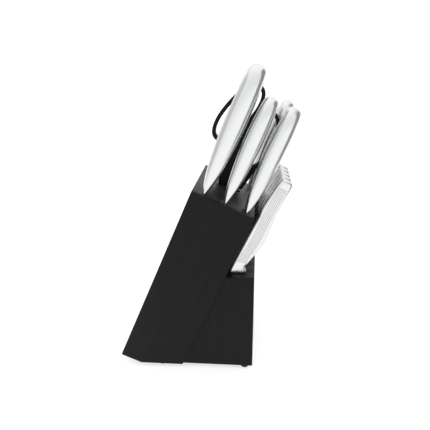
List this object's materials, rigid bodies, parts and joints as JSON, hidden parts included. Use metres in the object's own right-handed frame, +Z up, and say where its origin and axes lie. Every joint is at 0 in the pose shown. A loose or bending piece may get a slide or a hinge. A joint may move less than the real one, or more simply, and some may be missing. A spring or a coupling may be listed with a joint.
{
  "type": "knife block with knives",
  "caption": "Leaning laminated knife block with a front wedge, hollow steel-handled kitchen knives, shears and steak knives that lift out of their slots.",
  "frame": {"origin": "centre of the whole object's outline, on the surface that the rubber feet stand on", "axes": "+Z up, +X towards the front where the wedge stands and the knives lean, +Y across the width, away from the side with the large slots"},
  "size_m": [0.1919, 0.126, 0.3302],
  "materials": {
    "panel_wood": "satin black stain",
    "core_wood": "satin black stain",
    "wedge_wood": "satin black stain",
    "dowel_wood": "bare beech",
    "rubber": "matte black",
    "fastener_steel": "zinc plated",
    "grip_steel": "fine satin with a dimpled field",
    "blade_steel": "ground and polished",
    "black_plastic": "fine matte"
  },
  "bodies": {
    "block": {"side_panel_near": "panel_wood", "side_panel_far": "panel_wood", "near_back_board": "core_wood", "near_middle_board_1": "core_wood", "near_middle_board_2": "core_wood", "near_front_board": "core_wood", "near_slot_spacers": "core_wood", "shears_near_board": "core_wood", "shears_far_board": "core_wood", "shears_slot_spacers": "core_wood", "far_back_board": "core_wood", "far_front_board": "core_wood", "far_slot_spacer": "core_wood", "wedge_near_cheek": "wedge_wood", "wedge_far_cheek": "wedge_wood", "wedge_divider_1": "wedge_wood", "wedge_divider_2": "wedge_wood", "wedge_divider_3": "wedge_wood", "wedge_divider_4": "wedge_wood", "wedge_divider_5": "wedge_wood", "wedge_slot_spacers": "wedge_wood", "wedge_dowels": "dowel_wood", "foot_back_near": "rubber", "foot_back_far": "rubber", "foot_front_near": "rubber", "foot_front_far": "rubber", "foot_screws": "fastener_steel"},
    "chef_knife": {"chef_blade": "blade_steel", "chef_grip_left": "grip_steel", "chef_grip_right": "grip_steel"},
    "carving_knife": {"carving_blade": "blade_steel", "carving_grip_left": "grip_steel", "carving_grip_right": "grip_steel"},
    "utility_knife": {"utility_blade": "blade_steel", "utility_grip_left": "grip_steel", "utility_grip_right": "grip_steel"},
    "paring_knife": {"paring_blade": "blade_steel", "paring_grip_left": "grip_steel", "paring_grip_right": "grip_steel"},
    "steak_knife_1": {"steak_1_blade": "blade_steel", "steak_1_grip_left": "grip_steel", "steak_1_grip_right": "grip_steel"},
    "steak_knife_2": {"steak_2_blade": "blade_steel", "steak_2_grip_left": "grip_steel", "steak_2_grip_right": "grip_steel"},
    "steak_knife_3": {"steak_3_blade": "blade_steel", "steak_3_grip_left": "grip_steel", "steak_3_grip_right": "grip_steel"},
    "steak_knife_4": {"steak_4_blade": "blade_steel", "steak_4_grip_left": "grip_steel", "steak_4_grip_right": "grip_steel"},
    "steak_knife_5": {"steak_5_blade": "blade_steel", "steak_5_grip_left": "grip_steel", "steak_5_grip_right": "grip_steel"},
    "shears_half_a": {"shears_blade_a": "blade_steel", "shears_handle_a": "black_plastic", "shears_pivot_screw": "fastener_steel", "shears_pivot_nut": "fastener_steel"},
    "shears_half_b": {"shears_blade_b": "blade_steel", "shears_handle_b": "black_plastic"}
  },
  "joints": [
    {"name": "chef_slide", "type": "slide", "parent": "block", "child": "chef_knife", "axis": [0.4035, 0, 0.915], "range_m": [0, 0.2]},
    {"name": "carving_slide", "type": "slide", "parent": "block", "child": "carving_knife", "axis": [0.4035, 0, 0.915], "range_m": [0, 0.187]},
    {"name": "utility_slide", "type": "slide", "parent": "block", "child": "utility_knife", "axis": [0.4035, 0, 0.915], "range_m": [0, 0.152]},
    {"name": "paring_slide", "type": "slide", "parent": "block", "child": "paring_knife", "axis": [0.4035, 0, 0.915], "range_m": [0, 0.097]},
    {"name": "steak_1_slide", "type": "slide", "parent": "block", "child": "steak_knife_1", "axis": [0.4035, 0, 0.915], "range_m": [0, 0.12]},
    {"name": "steak_2_slide", "type": "slide", "parent": "block", "child": "steak_knife_2", "axis": [0.4035, 0, 0.915], "range_m": [0, 0.12]},
    {"name": "steak_3_slide", "type": "slide", "parent": "block", "child": "steak_knife_3", "axis": [0.4035, 0, 0.915], "range_m": [0, 0.12]},
    {"name": "steak_4_slide", "type": "slide", "parent": "block", "child": "steak_knife_4", "axis": [0.4035, 0, 0.915], "range_m": [0, 0.12]},
    {"name": "steak_5_slide", "type": "slide", "parent": "block", "child": "steak_knife_5", "axis": [0.4035, 0, 0.915], "range_m": [0, 0.12]},
    {"name": "shears_slide", "type": "slide", "parent": "block", "child": "shears_half_a", "axis": [0.4035, 0, 0.915], "range_m": [0, 0.106]},
    {"name": "shears_pivot", "type": "hinge", "parent": "shears_half_a", "child": "shears_half_b", "pos_m": [0.01606, 0.01, 0.17819], "axis": [0, 1, 0], "range_deg": [0, 7]}
  ]
}
